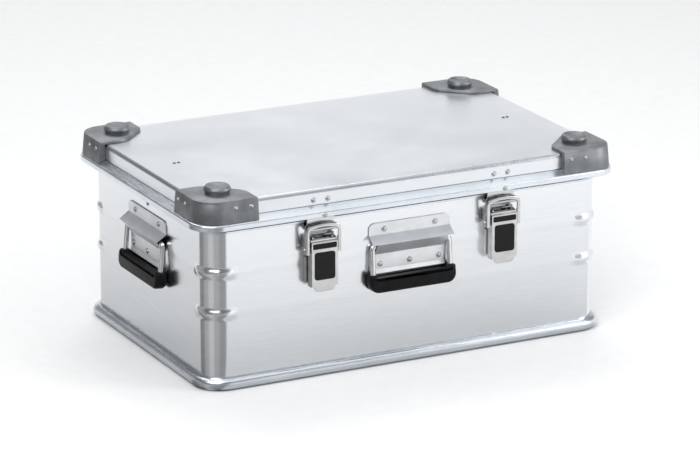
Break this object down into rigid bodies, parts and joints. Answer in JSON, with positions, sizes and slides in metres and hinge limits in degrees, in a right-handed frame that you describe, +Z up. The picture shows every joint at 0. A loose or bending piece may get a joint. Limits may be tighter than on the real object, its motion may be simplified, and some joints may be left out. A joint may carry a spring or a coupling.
{
  "type": "aluminium stacking transport case",
  "caption": "Riveted aluminium transport case with a hinged lid, cast stacking corners, toggle latches and drop handles",
  "frame": {"origin": "centre of the footprint, on the floor", "axes": "X along the front (long) side, +Y towards the hinges at the back, +Z up"},
  "size_m": [0.6, 0.408, 0.26],
  "materials": {
    "wall": "rolled sheet, semi gloss",
    "profile": "extruded, satin",
    "lid": "rolled sheet, satin",
    "casting": "cast, fine grain",
    "bracket": "zinc plated, satin",
    "wire": "bright plated",
    "grip": "moulded, fine texture",
    "latch": "bright nickel plate",
    "label": "printed plate, no text",
    "seal": "foam rubber",
    "strap": "woven webbing"
  },
  "bodies": {
    "case": {"body_shell": "wall", "base_frame": "profile", "base_panel": "lid", "body_rim": "profile", "front_handle_bracket": "bracket", "left_handle_bracket": "bracket", "right_handle_bracket": "bracket", "left_latch_base": "latch", "left_latch_lever_pin": "latch", "left_hinge_lower_leaf": "latch", "left_hinge_pin": "latch", "left_strap_anchor": "bracket", "right_latch_base": "latch", "right_latch_lever_pin": "latch", "right_hinge_lower_leaf": "latch", "right_hinge_pin": "latch", "right_strap_anchor": "bracket"},
    "lid": {"lid_seal": "seal", "lid_frame": "profile", "lid_panel": "lid", "corner_front_left": "casting", "corner_front_right": "casting", "corner_rear_right": "casting", "corner_rear_left": "casting", "left_latch_keeper": "latch", "left_hinge_upper_leaf": "latch", "left_strap_bracket": "bracket", "left_strap": "strap", "right_latch_keeper": "latch", "right_hinge_upper_leaf": "latch", "right_strap_bracket": "bracket", "right_strap": "strap"},
    "front_handle": {"front_handle_bail": "wire", "front_handle_grip": "grip"},
    "left_handle": {"left_handle_bail": "wire", "left_handle_grip": "grip"},
    "right_handle": {"right_handle_bail": "wire", "right_handle_grip": "grip"},
    "left_lever": {"left_latch_lever": "latch", "left_latch_label": "label", "left_latch_bow_pin": "latch"},
    "left_bow": {"left_latch_bow": "latch"},
    "right_lever": {"right_latch_lever": "latch", "right_latch_label": "label", "right_latch_bow_pin": "latch"},
    "right_bow": {"right_latch_bow": "latch"}
  },
  "joints": [
    {"name": "lid_hinge", "type": "hinge", "parent": "case", "child": "lid", "pos_m": [0, 0.2025, 0.203], "axis": [-1, 0, 0], "range_deg": [0, 95], "deforming": ["left_strap", "right_strap"]},
    {"name": "left_lever_pivot", "type": "hinge", "parent": "case", "child": "left_lever", "pos_m": [-0.1285, -0.189, 0.181], "axis": [-1, 0, 0], "range_deg": [0, 110]},
    {"name": "left_bow_pivot", "type": "hinge", "parent": "left_lever", "child": "left_bow", "pos_m": [-0.1285, -0.191, 0.17], "axis": [-1, 0, 0], "range_deg": [-143.5, 0]},
    {"name": "right_lever_pivot", "type": "hinge", "parent": "case", "child": "right_lever", "pos_m": [0.1285, -0.189, 0.181], "axis": [-1, 0, 0], "range_deg": [0, 110]},
    {"name": "right_bow_pivot", "type": "hinge", "parent": "right_lever", "child": "right_bow", "pos_m": [0.1285, -0.191, 0.17], "axis": [-1, 0, 0], "range_deg": [-143.5, 0]},
    {"name": "front_handle_pivot", "type": "hinge", "parent": "case", "child": "front_handle", "pos_m": [0, -0.1856, 0.16], "axis": [-1, 0, 0], "range_deg": [0, 80]},
    {"name": "left_handle_pivot", "type": "hinge", "parent": "case", "child": "left_handle", "pos_m": [-0.2856, 0, 0.16], "axis": [0, 1, 0], "range_deg": [0, 80]},
    {"name": "right_handle_pivot", "type": "hinge", "parent": "case", "child": "right_handle", "pos_m": [0.2856, 0, 0.16], "axis": [0, -1, 0], "range_deg": [0, 80]}
  ],
  "couplings": [
    {"joint": "left_bow_pivot", "follows": "left_lever_pivot", "ratio": -1.3},
    {"joint": "right_bow_pivot", "follows": "right_lever_pivot", "ratio": -1.3}
  ]
}
